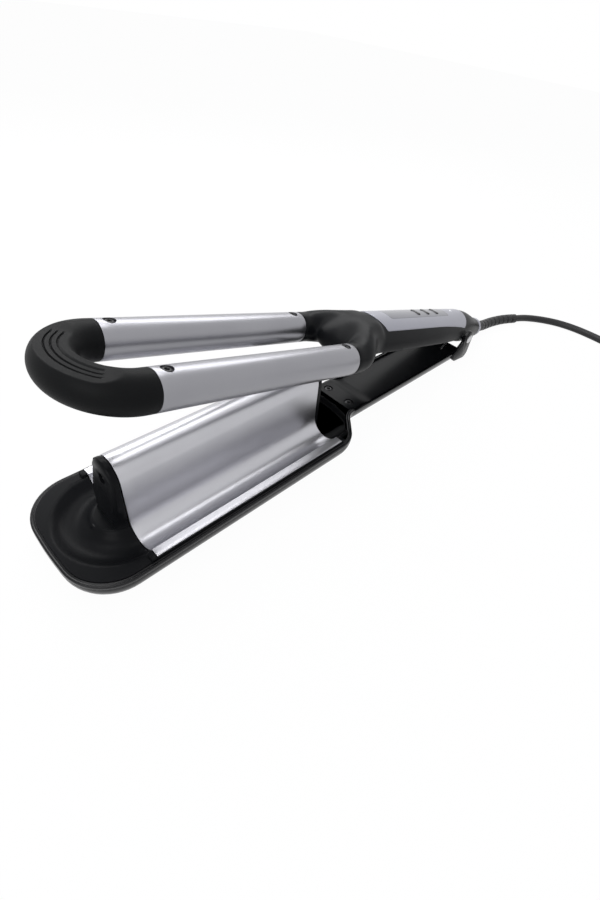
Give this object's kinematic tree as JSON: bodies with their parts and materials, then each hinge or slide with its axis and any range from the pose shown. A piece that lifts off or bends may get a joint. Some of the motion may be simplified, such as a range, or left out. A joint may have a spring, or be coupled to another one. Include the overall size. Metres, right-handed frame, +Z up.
{
  "type": "hair crimper",
  "caption": "Hair waver: a fork of heated barrels hinged over a jaw with one tall heated wave plate, with press keys on the handle and a coiled swivel cord.",
  "frame": {"origin": "on the table under the middle of the open tool, from the tip of the jaws to the collar; the lower jaw lies flat on z = 0", "axes": "+X from the cool tip towards the cord, +Y across the jaws, +Z up"},
  "size_m": [0.509, 0.2687, 0.114],
  "materials": {
    "satin_black": "satin",
    "gloss_black": "gloss",
    "heated_aluminium": "satin, coated",
    "silver_trim": "satin metallic paint",
    "dark_window": "smoked",
    "button_black": "satin",
    "clear_lens": "milky",
    "black_screw": "black oxide",
    "steel": "bright",
    "spring_steel": "drawn wire",
    "circuit_board": "lacquered",
    "ceramic": "fired",
    "plain_aluminium": "mill",
    "insulation": "woven fibre",
    "lead_sleeve": "silicone sleeve",
    "cord_black": "matt",
    "nickel": "plated"
  },
  "bodies": {
    "cord": {"swivel_barrel": "cord_black", "strain_relief": "cord_black", "power_cord": "cord_black", "cord_coil": "cord_black", "coil_tie": "cord_black", "plug_body": "cord_black", "plug_pins": "nickel"},
    "upper_jaw": {"upper_housing": "satin_black", "upper_inner_cover": "satin_black", "upper_cover_screws": "black_screw", "control_bezel": "silver_trim", "display_window": "dark_window", "indicator_lens": "clear_lens", "control_board": "circuit_board", "push_switches": "button_black", "barrel_far": "heated_aluminium", "barrel_near": "heated_aluminium", "barrel_screws": "black_screw", "heater_rod_far": "ceramic", "heater_rod_near": "ceramic", "heater_holders": "ceramic", "cool_tip": "satin_black", "upper_leads": "lead_sleeve", "supply_lead": "lead_sleeve", "swivel_collar": "silver_trim"},
    "lower_jaw": {"lower_shell": "gloss_black", "tray_frame": "gloss_black", "lower_liner": "satin_black", "lower_handle_cover": "satin_black", "lower_screws": "black_screw", "wave_plate": "heated_aluminium", "front_ridge_cap": "satin_black", "rear_ridge_cap": "satin_black", "ridge_spreader": "plain_aluminium", "ridge_heater": "ceramic", "heater_clamps": "steel", "heater_posts": "ceramic", "insulating_pad": "insulation", "plate_leads": "lead_sleeve", "hinge_pin": "steel", "pin_cap": "steel", "torsion_spring": "spring_steel"},
    "power_key": {"button_power": "button_black"},
    "plus_key": {"button_plus": "button_black"},
    "minus_key": {"button_minus": "button_black"}
  },
  "joints": [
    {"name": "cord_swivel", "type": "hinge", "parent": "cord", "child": "upper_jaw", "pos_m": [0.19641, 0, 0.01052], "axis": [0.9683, 0, -0.2497], "continuous": true},
    {"name": "jaw_hinge", "type": "hinge", "parent": "upper_jaw", "child": "lower_jaw", "pos_m": [0.14702, 0, 0.02325], "axis": [0, 1, 0], "range_deg": [0, 14.46], "stiffness_Nm_per_rad": 1.5, "springref_deg": -34.38},
    {"name": "power_press", "type": "slide", "parent": "upper_jaw", "child": "power_key", "axis": [-0.2497, 0, -0.9683], "range_m": [0, 0.0006], "stiffness_N_per_m": 1500, "springref_m": -0.0004},
    {"name": "plus_press", "type": "slide", "parent": "upper_jaw", "child": "plus_key", "axis": [-0.2497, 0, -0.9683], "range_m": [0, 0.0006], "stiffness_N_per_m": 1500, "springref_m": -0.0004},
    {"name": "minus_press", "type": "slide", "parent": "upper_jaw", "child": "minus_key", "axis": [-0.2497, 0, -0.9683], "range_m": [0, 0.0006], "stiffness_N_per_m": 1500, "springref_m": -0.0004}
  ]
}
